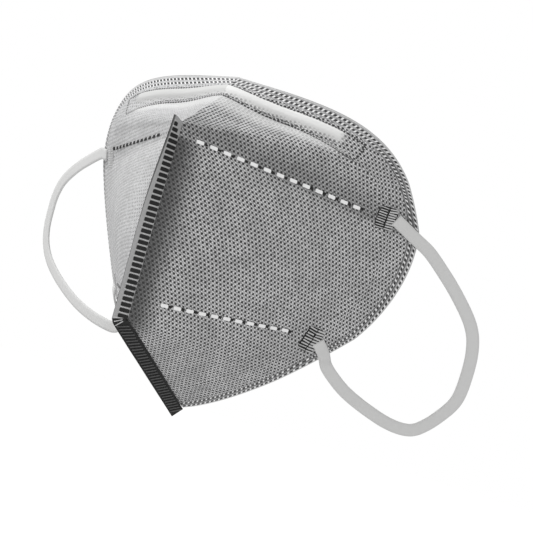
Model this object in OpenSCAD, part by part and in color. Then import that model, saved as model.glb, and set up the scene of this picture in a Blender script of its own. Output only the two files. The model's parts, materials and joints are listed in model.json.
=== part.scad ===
/* [Front seam] */
// Height of the upright welded seam down the middle of the front
seam_h = 73.5; // [68:0.5:80]
// How far the seam stands in front of the middle of the face opening
seam_reach = 56.5; // [52:0.5:62]
// Height of the seam's top end above the middle of the face opening
seam_top = 38; // [34:0.5:42]
// Width of the welded flange outside the seam
flange_w = 5.5; // [4:0.5:7]
// Thickness of the welded flange between its ribs
flange_t = 0.9; // [0.7:0.1:1.4]
// Spacing of the weld ribs along the flange
flange_rib_pitch = 2.1; // [1.8:0.1:3]
// Height of a weld rib above the flange
flange_rib_h = 0.25; // [0.15:0.05:0.4]

/* [Nose panel] */
// Length of the nose ridge, from the seam's top to the edge on the nose
nose_ridge = 41; // [37:0.5:45]
// Rise of the nose ridge above the horizontal, in degrees
nose_rise = 40; // [36:0.5:44]
// How square the nose edge leaves the middle, before it sweeps back
nose_spread = 40; // [34:0.5:46]

/* [Cheek panel] */
// Length of the upper fold, from the seam's top to the temple
upper_fold = 96; // [90:0.5:102]
// Angle of the upper fold from straight back, in degrees
upper_fold_yaw = 49; // [46:0.5:52]
// Fall of the upper fold towards the temple, in degrees
upper_fold_fall = 2.8; // [0:0.2:5]
// Length of the lower fold, from the seam's foot to the jaw
lower_fold = 79.5; // [74:0.5:85]
// Angle of the lower fold from straight back, in degrees
lower_fold_yaw = 34.5; // [32:0.5:38]
// Fall of the lower fold towards the jaw, in degrees
lower_fold_fall = 0.9; // [0:0.1:3]
// How far the cheek's ear edge bows back between the folds
ear_bow = 14; // [10:0.5:18]
// How far the cheek swells beyond a flat panel
cheek_swell = 6; // [3:0.5:8]

/* [Chin panel] */
// Length of the chin seam, from the front seam's foot to the edge under the chin
chin_ridge = 67; // [62:0.5:72]
// Fall of the chin seam below the horizontal, in degrees
chin_fall = 26.8; // [24:0.2:30]
// How square the chin edge leaves the middle, before it sweeps up to the jaw
chin_spread = 15; // [12:0.5:18]

/* [Layers] */
// Thickness of the outer spunbond cover
cover_t = 0.35; // [0.3:0.05:0.5]
// Thickness of the melt-blown filter
filter_t = 0.35; // [0.3:0.05:0.5]
// Thickness of the soft support layer
support_t = 0.6; // [0.4:0.05:1]
// Thickness of the inner lining
lining_t = 0.3; // [0.25:0.05:0.5]
// Width of the weld that presses the layers together along the outer edge
edge_weld_w = 3.5; // [2.5:0.25:5]
// Share of its thickness that a layer keeps in the edge weld
edge_press = 0.5; // [0.4:0.05:0.7]

/* [Nose wire] */
// Width of the flat wire
wire_w = 4; // [3:0.5:5]
// Thickness of the flat wire
wire_t = 0.8; // [0.6:0.1:1]
// Distance from the nose edge to the middle of the wire
wire_inset = 7.5; // [6.5:0.25:9]
// Length of half the wire, measured along the nose edge
wire_half = 47; // [42:0.5:52]

/* [Ear loops] */
// Width of the flat elastic
loop_w = 5; // [4:0.25:6]
// Thickness of the flat elastic
loop_t = 0.9; // [0.7:0.1:1.2]
// Reach of the left loop from the line between its two ends
left_loop_reach = 49; // [45:0.5:52]
// Reach of the right loop from the line between its two ends
right_loop_reach = 49; // [45:0.5:52]
// How far the loops bow back from the plane of their ends
loop_bow = 2; // [0:0.5:4]
// Length of the ribbed weld that holds an end of the loop
loop_weld_h = 10; // [8:0.5:12]
// Width of the ribbed weld that holds an end of the loop
loop_weld_w = 8; // [7:0.2:9]
// Number of ribs in each of the weld's two columns
loop_weld_ribs = 10; // [8:1:12]

/* [Clearances] */
// Gap between two layers
layer_gap = 0.06; // [0.04:0.02:0.1]
// Gap between a panel and the flange of the seam that it turns about
fold_gap = 0.35; // [0.3:0.05:0.5]
// Gap that opens the upper fold, so that the pressed edges pass each other
upper_fold_gap = 1; // [0.9:0.1:1.4]
// Gap that opens the lower fold, so that the pressed edges pass each other
lower_fold_gap = 1.1; // [1:0.1:1.6]
// Gap that the folding needs between the two nose panels, at the nose edge
nose_gap = 2.6; // [2.5:0.1:3.2]
// Gap that the folding needs between the two chin panels, at the chin edge
chin_gap = 3.4; // [3.2:0.1:4]
// Distance of a loop's end from the line that it swings about
loop_gap = 0.5; // [0.45:0.05:0.7]

/* [Hidden] */
PANEL_LAYERS = ["lining", "support", "filter", "cover"];

// Everything is worked out for the wearer's left half, +X, and mirrored for the right.
// The reference surface is the inner face of the lining; the layers lie outside it.

// Direction of a line that runs back at an angle from the middle plane and falls
function run_back(yaw, fall) = [sin(yaw) * cos(fall), cos(yaw) * cos(fall), -sin(fall)];

// Ends of the straight lines that the mask folds about
SEAM_HEAD = [0, -seam_reach, seam_top];
SEAM_FOOT = SEAM_HEAD - [0, 0, seam_h];
NOSE_TIP = SEAM_HEAD + nose_ridge * run_back(0, -nose_rise);
TEMPLE = SEAM_HEAD + upper_fold * run_back(upper_fold_yaw, upper_fold_fall);
JAW = SEAM_FOOT + lower_fold * run_back(lower_fold_yaw, lower_fold_fall);
CHIN_TIP = SEAM_FOOT + chin_ridge * run_back(0, chin_fall);

// Edge of the face opening, as three curves that run down one half of the mask
NOSE_EDGE = [
    NOSE_TIP, NOSE_TIP + nose_spread * [1, 0.025, -0.1125],
    TEMPLE + upper_fold * [-0.109, -0.146, 0.299], TEMPLE];
EAR_EDGE = [
    TEMPLE, TEMPLE + ear_bow * [0.46, 0.93, -1.02], JAW + ear_bow * [1.56, 1.34, 1.48], JAW];
JAW_EDGE = [
    JAW, JAW + lower_fold * [-0.133, -0.021, -0.111],
    CHIN_TIP + chin_spread * [1, 0.18, 0.347], CHIN_TIP];

// How far the panels stand off the seams and folds that they turn about
FLANGE_HALF = flange_t / 2 + flange_rib_h;
SEAM_STAND = FLANGE_HALF + fold_gap;
function stand(panel, s, t) =
    panel == "nose" ? [fold_gap / 2, 0, upper_fold_gap]
    : panel == "cheek" ? [SEAM_STAND * (1 - s), 0, 0]
    : [SEAM_STAND * (1 - s * (1 - t)), 0, -lower_fold_gap];

// Where a cone panel starts, as a share of its length, so that it has no point of zero width
CONE_START = 0.06;
// First and last position across a cone panel, which open the gaps that the folding needs
NOSE_FIRST = nose_gap / 2 / (3 * nose_spread);
CHIN_LAST = 1 - chin_gap / 2 / (3 * chin_spread);

function mix(a, b, f) = a + (b - a) * f;
function unit(v) = v / norm(v);
function bezier(p, t) =
    pow(1 - t, 3) * p[0] + 3 * t * pow(1 - t, 2) * p[1] + 3 * t * t * (1 - t) * p[2] + pow(t, 3) * p[3];

// Swell of the cheek, which is 1 at its fullest, a third of the way from the seam to the ear
function swell(s, t) = 6.75 * s * pow(1 - s, 2) * 16 * pow(t * (1 - t), 2);
SWELL_YAW = (upper_fold_yaw + lower_fold_yaw) / 2;
SWELL_DIR = [cos(SWELL_YAW), -sin(SWELL_YAW), 0];

// Edge curve of a panel, and the point of the seam that a line of the panel starts from
function edge(panel) = panel == "nose" ? NOSE_EDGE : panel == "cheek" ? EAR_EDGE : JAW_EDGE;
function start(panel, t) =
    panel == "nose" ? SEAM_HEAD : panel == "cheek" ? mix(SEAM_HEAD, SEAM_FOOT, t) : SEAM_FOOT;

// Inner face of a panel: s runs from the seam to the edge and t runs down the mask
function face(panel, s, t) =
    mix(start(panel, t), bezier(edge(panel), t), s) + stand(panel, s, t)
    + (panel == "cheek" ? cheek_swell * swell(s, t) * SWELL_DIR : [0, 0, 0]);
STEP = 0.01;
function outward(panel, s, t) = unit(cross(
    face(panel, s, t + STEP) - face(panel, s, t - STEP),
    face(panel, s + STEP, t) - face(panel, s - STEP, t)));
function lifted(panel, s, t, h) = face(panel, s, t) + h * outward(panel, s, t);

// Position s of a line that keeps a distance from the panel's edge
function s_inset(panel, t, d) = 1 - d / norm(bezier(edge(panel), t) - start(panel, t));

// Height of each layer's inner face above the reference surface
LAYER_T = [lining_t, support_t, filter_t, cover_t];
function layer_floor(i) = i == 0 ? 0 : layer_floor(i - 1) + LAYER_T[i - 1] + layer_gap;
STACK = layer_floor(3) + cover_t;

// Rows of a panel, as [share of the way from the seam to the inner rows, or distance from
// the edge, share of the thickness kept, share of the wire's height that the cover rises]
PRESS_RAMP = 0.6;
WIRE_ROOM = 0.3;
CHANNEL_RAMP = 0.8;
EDGE_ROWS = [[edge_weld_w + PRESS_RAMP, 1, 0], [edge_weld_w, edge_press, 0], [0, edge_press, 0]];
WIRE_ROWS = [
    [wire_inset + wire_w / 2 + WIRE_ROOM + CHANNEL_RAMP, 1, 0],
    [wire_inset + wire_w / 2 + WIRE_ROOM, 1, 1],
    [wire_inset - wire_w / 2 - WIRE_ROOM, 1, 1],
    [wire_inset - wire_w / 2 - WIRE_ROOM - CHANNEL_RAMP, 1, 0]];
CHEEK_SHARES = [0, 0.04, 0.13, 0.25, 0.38, 0.52, 0.66, 0.8];
NOSE_SHARES = [CONE_START, 0.5];

// A panel's rows at one t, as [s, share of thickness, share of the wire's height]
function rows(panel, t, over_wire) = concat(
    panel == "cheek"
        ? [for (f = CHEEK_SHARES) [f, f == 0 ? edge_press : 1, 0]]
        : [for (f = NOSE_SHARES) [f, 1, 0]],
    [for (r = concat(over_wire ? WIRE_ROWS : [], EDGE_ROWS)) [s_inset(panel, t, r[0]), r[1], r[2]]]);

// Positions across a panel
NOSE_COLUMNS = 12;
CHEEK_COLUMNS = 10;
CHIN_COLUMNS = 7;
function columns(panel) =
    panel == "nose" ? [for (i = [0:NOSE_COLUMNS]) mix(NOSE_FIRST, 1, i / NOSE_COLUMNS)]
    : panel == "cheek" ? [for (i = [0:CHEEK_COLUMNS]) i / CHEEK_COLUMNS]
    : [for (i = [0:CHIN_COLUMNS]) mix(0, CHIN_LAST, i / CHIN_COLUMNS)];

// Columns of the nose panel that the wire passes, and its share of the way to the next one
function nose_run(i) = i == 0 ? 0 : nose_run(i - 1)
    + norm(bezier(NOSE_EDGE, columns("nose")[i]) - bezier(NOSE_EDGE, columns("nose")[i - 1]));
WIRE_LAST = len([for (i = [1:NOSE_COLUMNS]) if (nose_run(i) <= wire_half) i]);
WIRE_PART = (wire_half - nose_run(WIRE_LAST)) / (nose_run(WIRE_LAST + 1) - nose_run(WIRE_LAST));

// Closed solid between two grids of points, each a list of columns of the same length
module sheet(under, over) {
    nc = len(under);
    nr = len(under[0]);
    function at(c, r) = c * nr + r;
    points = concat([for (c = under) each c], [for (c = over) each c]);
    top = nc * nr;
    skin = [for (c = [0:nc - 2]) for (r = [0:nr - 2]) each [
        [at(c, r), at(c + 1, r), at(c + 1, r + 1)],
        [at(c, r), at(c + 1, r + 1), at(c, r + 1)]]];
    rim = concat(
        [for (r = [0:nr - 2]) [at(0, r), at(0, r + 1)]],
        [for (c = [0:nc - 2]) [at(c, nr - 1), at(c + 1, nr - 1)]],
        [for (r = [nr - 1:-1:1]) [at(nc - 1, r), at(nc - 1, r - 1)]],
        [for (c = [nc - 1:-1:1]) [at(c, 0), at(c - 1, 0)]]);
    polyhedron(points, concat(
        [for (f = skin) [f[2], f[1], f[0]]],
        [for (f = skin) [f[0] + top, f[1] + top, f[2] + top]],
        [for (e = rim) each [[e[1], e[0], e[0] + top], [e[1], e[0] + top, e[1] + top]]]));
}

// Share of its thickness that a layer keeps at a column: the folds are pressed
function fold_press(panel, c, last) =
    (panel != "nose" && c == 0) || (panel != "chin" && c == last) ? edge_press : 1;

// One layer of one panel, pressed thin at its folds and where the edge weld holds the layers
module panel_layer(panel, i) {
    over_wire = panel == "nose" && i == 3;
    cols = columns(panel);
    last = len(cols) - 1;
    function wire_share(c) = over_wire && c <= WIRE_LAST + 1 ? 1 : 0;
    function grid(h) = [for (c = [0:last])
        [for (r = rows(panel, cols[c], over_wire))
            lifted(panel, r[0], cols[c],
                h * min(r[1], fold_press(panel, c, last))
                + r[2] * wire_share(c) * (wire_t + layer_gap))]];
    sheet(grid(layer_floor(i)), grid(layer_floor(i) + LAYER_T[i]));
}

module nose_lining() {
    color("whitesmoke") panel_layer("nose", 0);
}
module nose_support() {
    color("snow") panel_layer("nose", 1);
}
module nose_filter() {
    color("ghostwhite") panel_layer("nose", 2);
}
module nose_cover() {
    color("white") panel_layer("nose", 3);
}
module cheek_lining() {
    color("whitesmoke") panel_layer("cheek", 0);
}
module cheek_support() {
    color("snow") panel_layer("cheek", 1);
}
module cheek_filter() {
    color("ghostwhite") panel_layer("cheek", 2);
}
module cheek_cover() {
    color("white") panel_layer("cheek", 3);
}
module chin_lining() {
    color("whitesmoke") panel_layer("chin", 0);
}
module chin_support() {
    color("snow") panel_layer("chin", 1);
}
module chin_filter() {
    color("ghostwhite") panel_layer("chin", 2);
}
module chin_cover() {
    color("white") panel_layer("chin", 3);
}

// Half of the flat wire, between the filter and the cover, bent over the nose
module nose_wire() {
    cols = columns("nose");
    function across(c, h) = [for (d = [wire_inset + wire_w / 2, wire_inset - wire_w / 2])
        lifted("nose", s_inset("nose", cols[c], d), cols[c], h)];
    function grid(h) = concat(
        [for (c = [0:WIRE_LAST]) across(c, h)],
        [mix(across(WIRE_LAST, h), across(WIRE_LAST + 1, h), WIRE_PART)]);
    color("gainsboro") sheet(grid(layer_floor(3)), grid(layer_floor(3) + wire_t));
}

// Welded flange of the front seam, in the middle plane, with its ladder of weld ribs
FLANGE_PLAIN = 1;
module front_seam() {
    taper = flange_w * 0.7;
    foot_drop = flange_w * tan(chin_fall / 2);
    rib_len = flange_w - 2 * FLANGE_PLAIN;
    color("white") union() {
        rotate([90, 0, 90]) linear_extrude(flange_t, center = true)
            polygon([
                [SEAM_HEAD[1], SEAM_HEAD[2]],
                [SEAM_HEAD[1] - flange_w, SEAM_HEAD[2] - taper],
                [SEAM_FOOT[1] - flange_w, SEAM_FOOT[2] - foot_drop],
                [SEAM_FOOT[1], SEAM_FOOT[2]]]);
        for (z = [SEAM_FOOT[2] + flange_rib_pitch:flange_rib_pitch:SEAM_HEAD[2] - taper])
            translate([0, -seam_reach - flange_w / 2, z])
                cube([2 * FLANGE_HALF, rib_len, flange_rib_pitch / 2], center = true);
    }
}

// Welded flange under the chin, hinged at the foot of the front seam. Its front end is cut
// back by the angle through which it turns, so that it stays clear of the front seam.
CHIN_SEAM_TURN = 20;
module chin_seam() {
    rib_len = flange_w - 2 * FLANGE_PLAIN;
    half_corner = chin_fall / 2;
    color("white") translate(SEAM_FOOT) rotate([-chin_fall, 0, 0]) union() {
        rotate([90, 0, 90]) linear_extrude(flange_t, center = true)
            polygon([
                [fold_gap, -fold_gap / 2],
                [chin_ridge, -fold_gap / 2],
                [chin_ridge, -flange_w],
                [fold_gap + flange_w * tan(CHIN_SEAM_TURN - half_corner), -flange_w]]);
        for (y = [flange_w:flange_rib_pitch:chin_ridge - flange_rib_pitch])
            translate([0, y, -flange_w / 2]) rotate([35, 0, 0])
                cube([2 * FLANGE_HALF, flange_rib_pitch / 2, rib_len], center = true);
    }
}

// Ends of an ear loop: where the band crosses the ear edge, where it is welded on, and the
// turn of its weld in degrees
UPPER_CROSSING = 0.2;
LOWER_CROSSING = 0.945;
UPPER_WELD = [0.85, 0.13];
LOWER_WELD = [0.815, 0.84];
UPPER_TURN = 14;
LOWER_TURN = -20;
BEYOND_EDGE = 1;

// Height that the cover reaches under the weld and its length of band. The heights are taken
// over a patch of the cheek from the weld to the ear edge, and FACET_SPARE covers its facets.
FACET_SPARE = 0.12;
function reach_under(at, crossing, centre, out) = max([
    for (i = [-3:10]) for (j = [-4:4])
        let (
            s = min(1, mix(at[0], 1, i / 10)),
            t = mix(at[1], crossing, max(0, i) / 10) + j / 4 * 0.6 * loop_weld_h / seam_h,
            p = lifted("cheek", s, t, STACK))
        (p - centre) * out]);

// Frame of a loop's weld: its plane passes over the weld's centre and the ear edge's crossing.
// It is [centre, across, down, out, direction of the band, length of the band]
function weld_frame(at, crossing, turn) = let (
    centre = face("cheek", at[0], at[1]),
    beyond = face("cheek", s_inset("cheek", crossing, -BEYOND_EDGE), crossing),
    run = unit(beyond - centre),
    normal = outward("cheek", (at[0] + 1) / 2, (at[1] + crossing) / 2),
    out = unit(normal - (normal * run) * run),
    fall = face("cheek", at[0], at[1] + STEP) - face("cheek", at[0], at[1] - STEP),
    fall_line = unit(fall - (fall * out) * out),
    down = cos(turn) * fall_line + sin(turn) * cross(fall_line, out),
    lift = reach_under(at, crossing, centre, out) + layer_gap + FACET_SPARE)
    [centre + lift * out, cross(down, out), down, out, run, norm(beyond - centre)];
function loop_end(f) = f[0] + (f[5] + loop_gap) * f[4] + loop_t / 2 * f[3];
UPPER_FRAME = weld_frame(UPPER_WELD, UPPER_CROSSING, UPPER_TURN);
LOWER_FRAME = weld_frame(LOWER_WELD, LOWER_CROSSING, LOWER_TURN);
UPPER_END = loop_end(UPPER_FRAME);
LOWER_END = loop_end(LOWER_FRAME);

// Frame of a loop: down the line between its ends, outward from the head, and back
LOOP_DOWN = unit(LOWER_END - UPPER_END);
LOOP_BACK_HINT = [-0.42, 0.89, 0.17];
LOOP_BACK = unit(LOOP_BACK_HINT - (LOOP_BACK_HINT * LOOP_DOWN) * LOOP_DOWN);
LOOP_OUT = cross(LOOP_DOWN, LOOP_BACK);
LOOP_CHORD = norm(LOWER_END - UPPER_END);

// Route of the left loop, as shares of the chord, of the reach and of the bow
LEFT_ROUTE = [
    [0.01, 0.12, 0.7], [0.06, 0.24, 0.9], [0.125, 0.475, 1], [0.24, 0.71, 1],
    [0.365, 0.85, 1], [0.545, 0.955, 1], [0.68, 1, 1], [0.81, 0.975, 1],
    [0.92, 0.93, 1], [1.005, 0.86, 1], [1.055, 0.7, 1], [1.07, 0.48, 1],
    [1.065, 0.27, 1], [1.04, 0.13, 0.8]];
// Route of the right loop, which hangs less low
RIGHT_ROUTE = [
    [-0.03, 0.12, 0.4], [-0.075, 0.22, 0.2], [-0.068, 0.47, 0], [-0.01, 0.68, 0],
    [0.085, 0.805, 0], [0.245, 0.93, 0], [0.38, 1, 0], [0.59, 0.95, 0],
    [0.785, 0.73, 0], [0.955, 0.41, 0.1], [1.04, 0.24, 0.3], [1.045, 0.13, 0.6]];

// The route leaves each end straight on from the length of band that the weld holds
END_RUN = 2.5;
function route_points(route, reach) = concat(
    [for (d = [loop_gap, END_RUN]) UPPER_END + d * UPPER_FRAME[4]],
    [for (p = route) UPPER_END
        + p[0] * LOOP_CHORD * LOOP_DOWN + p[1] * reach * LOOP_OUT + p[2] * loop_bow * LOOP_BACK],
    [for (d = [END_RUN, loop_gap]) LOWER_END + d * LOWER_FRAME[4]]);

// Smooth curve through a list of points, with some stations on each span
SPAN_STATIONS = 3;
function spline_at(p, i, f) =
    let (a = p[max(i - 1, 0)], b = p[i], c = p[i + 1], d = p[min(i + 2, len(p) - 1)])
    0.5 * (2 * b + (c - a) * f + (2 * a - 5 * b + 4 * c - d) * f * f
        + (3 * b - a - 3 * c + d) * f * f * f);
function spline(p) = concat(
    [for (i = [0:len(p) - 2]) for (k = [0:SPAN_STATIONS - 1]) spline_at(p, i, k / SPAN_STATIONS)],
    [p[len(p) - 1]]);

// Flat band along a list of points, with its width across the run and square to a facing
module band(path, facings) {
    n = len(path);
    function run(i) = unit(path[min(i + 1, n - 1)] - path[max(i - 1, 0)]);
    function side(i) = unit(cross(facings[i], run(i)));
    function up(i) = cross(run(i), side(i));
    function corner(i, a, b) = path[i] + a * loop_w / 2 * side(i) + b * loop_t / 2 * up(i);
    sheet(
        [for (i = [0:n - 1]) [corner(i, -1, -1), corner(i, 1, -1)]],
        [for (i = [0:n - 1]) [corner(i, -1, 1), corner(i, 1, 1)]]);
}

// Stations over which a loop's end turns from facing as its weld does to facing as the loop does
TURN_STATIONS = 9;
module ear_loop(route, reach) {
    path = spline(route_points(route, reach));
    n = len(path) - 1;
    function turn(i) = max(0, 1 - i / TURN_STATIONS);
    color("white") band(path, [for (i = [0:n]) unit(
        mix(mix(-LOOP_BACK, UPPER_FRAME[3], turn(i)), LOWER_FRAME[3], turn(n - i)))]);
}

// Weld that holds an end of a loop: two columns of ribs on the flattened band, and the
// length of band that runs outside the cheek from the weld to the ear edge
WELD_PLATE_T = 0.5;
WELD_RIB_H = 0.3;
WELD_SINK = 0.1;
module loop_weld(f) {
    pitch = loop_weld_h / loop_weld_ribs;
    column_w = loop_weld_w * 0.42;
    color("white") multmatrix([
        [f[1][0], f[2][0], f[3][0], f[0][0]],
        [f[1][1], f[2][1], f[3][1], f[0][1]],
        [f[1][2], f[2][2], f[3][2], f[0][2]],
        [0, 0, 0, 1]]) union() {
        translate([-loop_weld_w / 2, -loop_weld_h / 2, 0])
            cube([loop_weld_w, loop_weld_h, WELD_PLATE_T]);
        for (column = [-1, 1]) for (k = [0:loop_weld_ribs - 1])
            translate([
                column * loop_weld_w / 4 - column_w / 2,
                (k + 0.22) * pitch - loop_weld_h / 2,
                WELD_PLATE_T - WELD_SINK])
                cube([column_w, pitch * 0.56, WELD_RIB_H + WELD_SINK]);
        rotate([0, 0, atan2(f[4] * f[2], f[4] * f[1])])
            translate([loop_weld_w / 2 - 1, -loop_w / 2, 0])
                cube([f[5] - loop_weld_w / 2 + 1, loop_w, loop_t]);
    }
}
module upper_loop_weld() {
    loop_weld(UPPER_FRAME);
}
module lower_loop_weld() {
    loop_weld(LOWER_FRAME);
}
module left_ear_loop() {
    ear_loop(LEFT_ROUTE, left_loop_reach);
}
module right_ear_loop() {
    mirror([1, 0, 0]) ear_loop(RIGHT_ROUTE, right_loop_reach);
}

front_seam();
chin_seam();
nose_lining();  // left_nose_lining
nose_support();  // left_nose_support
nose_filter();  // left_nose_filter
nose_cover();  // left_nose_cover
cheek_lining();  // left_cheek_lining
cheek_support();  // left_cheek_support
cheek_filter();  // left_cheek_filter
cheek_cover();  // left_cheek_cover
chin_lining();  // left_chin_lining
chin_support();  // left_chin_support
chin_filter();  // left_chin_filter
chin_cover();  // left_chin_cover
nose_wire();  // left_nose_wire
upper_loop_weld();  // left_upper_loop_weld
lower_loop_weld();  // left_lower_loop_weld
left_ear_loop();
mirror([1, 0, 0]) nose_lining();  // right_nose_lining
mirror([1, 0, 0]) nose_support();  // right_nose_support
mirror([1, 0, 0]) nose_filter();  // right_nose_filter
mirror([1, 0, 0]) nose_cover();  // right_nose_cover
mirror([1, 0, 0]) cheek_lining();  // right_cheek_lining
mirror([1, 0, 0]) cheek_support();  // right_cheek_support
mirror([1, 0, 0]) cheek_filter();  // right_cheek_filter
mirror([1, 0, 0]) cheek_cover();  // right_cheek_cover
mirror([1, 0, 0]) chin_lining();  // right_chin_lining
mirror([1, 0, 0]) chin_support();  // right_chin_support
mirror([1, 0, 0]) chin_filter();  // right_chin_filter
mirror([1, 0, 0]) chin_cover();  // right_chin_cover
mirror([1, 0, 0]) nose_wire();  // right_nose_wire
mirror([1, 0, 0]) upper_loop_weld();  // right_upper_loop_weld
mirror([1, 0, 0]) lower_loop_weld();  // right_lower_loop_weld
right_ear_loop();
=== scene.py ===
"""Fold-flat dust mask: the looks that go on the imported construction."""
import bpy
import json
import math
import numpy as np
from mathutils import Matrix, Vector


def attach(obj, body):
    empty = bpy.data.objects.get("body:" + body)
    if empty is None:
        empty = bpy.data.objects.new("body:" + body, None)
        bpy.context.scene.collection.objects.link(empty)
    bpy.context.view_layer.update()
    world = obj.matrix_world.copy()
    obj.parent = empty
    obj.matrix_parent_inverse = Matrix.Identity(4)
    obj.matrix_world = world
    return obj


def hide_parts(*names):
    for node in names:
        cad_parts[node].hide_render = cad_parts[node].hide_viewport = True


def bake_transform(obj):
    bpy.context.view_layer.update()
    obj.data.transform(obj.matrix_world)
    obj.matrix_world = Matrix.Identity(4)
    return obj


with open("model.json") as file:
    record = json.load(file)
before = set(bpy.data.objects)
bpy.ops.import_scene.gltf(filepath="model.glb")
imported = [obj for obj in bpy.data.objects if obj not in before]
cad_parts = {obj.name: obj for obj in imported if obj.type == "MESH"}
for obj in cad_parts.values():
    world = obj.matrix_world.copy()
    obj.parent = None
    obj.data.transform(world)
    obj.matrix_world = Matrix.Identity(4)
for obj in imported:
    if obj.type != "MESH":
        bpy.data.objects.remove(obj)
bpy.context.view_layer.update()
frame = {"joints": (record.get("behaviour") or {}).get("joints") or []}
MM = 0.001
X, Y, Z = np.eye(3)


def unit(v):
    v = np.asarray(v, float)
    return v / np.linalg.norm(v, axis=-1, keepdims=True)


# ---------------------------------------------------------------- camera
def add_camera():
    """Looks at the left cheek from a little in front, rolled to one side."""
    az, el, roll = (math.radians(a) for a in (25.474, -2.336, 15.103))
    back = np.array([math.sin(az) * math.cos(el), -math.cos(az) * math.cos(el), math.sin(el)])
    right = np.array([math.cos(az), math.sin(az), 0.0])
    up = np.cross(back, right)
    cam_x = math.cos(roll) * right + math.sin(roll) * up
    cam_y = -math.sin(roll) * right + math.cos(roll) * up
    flange_top = np.array([0.0, -62.0, 38.0])
    across, above, away = 32.89, -53.07, 459.34
    place = cam_x * across + cam_y * above + back * away + flange_top
    data = bpy.data.cameras.new("camera")
    data.lens = 86.83
    data.sensor_width = 36.0
    data.clip_start = 0.02
    cam = bpy.data.objects.new("camera", data)
    bpy.context.collection.objects.link(cam)
    m = np.identity(4)
    m[:3, 0], m[:3, 1], m[:3, 2], m[:3, 3] = cam_x, cam_y, back, place * MM
    cam.matrix_world = Matrix(m.tolist())
    bpy.context.scene.camera = cam


add_camera()

# ---------------------------------------------------------------- shape of one half, in mm
# The sizes are the construction's: lengths of the seam, the two ridges and the two folds, and
# how far each runs outward (yaw) and down (fall), in degrees
SEAM_H = 73.5
NOSE_RIDGE, NOSE_RISE = 41, 40
UPPER_FOLD, UPPER_YAW, UPPER_FALL = 96, 49, 2.8
LOWER_FOLD, LOWER_YAW, LOWER_FALL = 79.5, 34.5, 0.9
CHIN_RIDGE, CHIN_FALL = 67, 26.8
SEAM_HEAD = np.array([0.0, -56.5, 38.0])
SEAM_FOOT = SEAM_HEAD - [0, 0, SEAM_H]


def run_back(yaw, fall):
    """Direction that runs back from the seam, turned outward by yaw and down by fall."""
    y, f = math.radians(yaw), math.radians(fall)
    return np.array([math.sin(y) * math.cos(f), math.cos(y) * math.cos(f), -math.sin(f)])


NOSE_TIP = SEAM_HEAD + NOSE_RIDGE * run_back(0, -NOSE_RISE)
TEMPLE = SEAM_HEAD + UPPER_FOLD * run_back(UPPER_YAW, UPPER_FALL)
JAW = SEAM_FOOT + LOWER_FOLD * run_back(LOWER_YAW, LOWER_FALL)
CHIN_TIP = SEAM_FOOT + CHIN_RIDGE * run_back(0, CHIN_FALL)
# Curves of the face opening's edge along the nose, the cheek and the chin
NOSE_EDGE = [NOSE_TIP, NOSE_TIP + [40, 1, -4.5], TEMPLE + [-10.5, -14, 28.7], TEMPLE]
EAR_EDGE = [TEMPLE, TEMPLE + [6.5, 13, -14.3], JAW + [21.9, 18.8, 20.7], JAW]
JAW_EDGE = [JAW, JAW + [-10.6, -1.7, -8.8], CHIN_TIP + [15, 2.7, 5.2], CHIN_TIP]
# How far the cheek swells, and which way
SWELL = 6.0
SWELL_YAW = math.radians((UPPER_YAW + LOWER_YAW) / 2)
SWELL_DIR = np.array([math.cos(SWELL_YAW), -math.sin(SWELL_YAW), 0.0])
# Half of the flange that keeps the two halves apart at the seam
FLANGE_HALF = 0.5


def bezier(p, t):
    """Point of a curve with four control points."""
    t = np.asarray(t, float)[..., None]
    return ((1 - t) ** 3 * p[0] + 3 * t * (1 - t) ** 2 * p[1]
            + 3 * t * t * (1 - t) * p[2] + t ** 3 * p[3])


def edge_at(v):
    """The face opening's edge: v is 0 to 1 on the nose, to 2 on the cheek, to 3 on the chin."""
    v = np.asarray(v, float)
    n, c, k = (bezier(e, np.clip(v - i, 0, 1)) for i, e in enumerate((NOSE_EDGE, EAR_EDGE, JAW_EDGE)))
    v = v[..., None]
    return np.where(v < 1, n, np.where(v < 2, c, k))


def start_at(v):
    """The seam's end of the line across the cloth: it fans out of the seam's head and foot."""
    t = np.clip(np.asarray(v, float) - 1, 0, 1)[..., None]
    return SEAM_HEAD + (SEAM_FOOT - SEAM_HEAD) * t


def smooth(x, lo, hi):
    """0 below lo, 1 above hi, and an even bend between."""
    t = np.clip((np.asarray(x, float) - lo) / (hi - lo), 0, 1)
    return t * t * (3 - 2 * t)


# The strip that holds the nose wire hangs down from the edge: its width, which way it runs, and
# the place along the nose where it starts to turn toward the fold
STRIP = 13.8
STRIP_FALL = np.array([0.0, -0.2, -0.98])
STRIP_TURN = 0.45
# How far the corner between strip and panel is rounded, on each side of it
CORNER_STRIP, CORNER_PANEL = 1.4, 3.2


def strip_foot(v):
    """Where the wire's strip meets the panel, for each place along the edge."""
    def hung(v):
        a, b = start_at(v), edge_at(v)
        w = (0.3 + 0.7 * smooth(v, 0.0, 0.25))[..., None]
        return b + STRIP * unit(unit(a - b) * (1 - w) + STRIP_FALL * w)

    def straight(v):
        a, b = start_at(v), edge_at(v)
        return b + STRIP * unit(a - b)
    v = np.asarray(v, float)
    # a curve from the hanging part, which leaves along its own run, to the upper fold
    p0, p2 = hung(np.array(STRIP_TURN)), straight(np.array(1.0))
    p1 = p0 + (hung(np.array(STRIP_TURN + 0.01)) - p0) * 20
    t = np.clip((v - STRIP_TURN) / (1 - STRIP_TURN), 0, 1)[..., None]
    turning = (1 - t) ** 2 * p0 + 2 * t * (1 - t) * p1 + t * t * p2
    w = v[..., None]
    return np.where(w < STRIP_TURN, hung(np.minimum(v, STRIP_TURN)), np.where(w < 1, turning, straight(v)))


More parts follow.
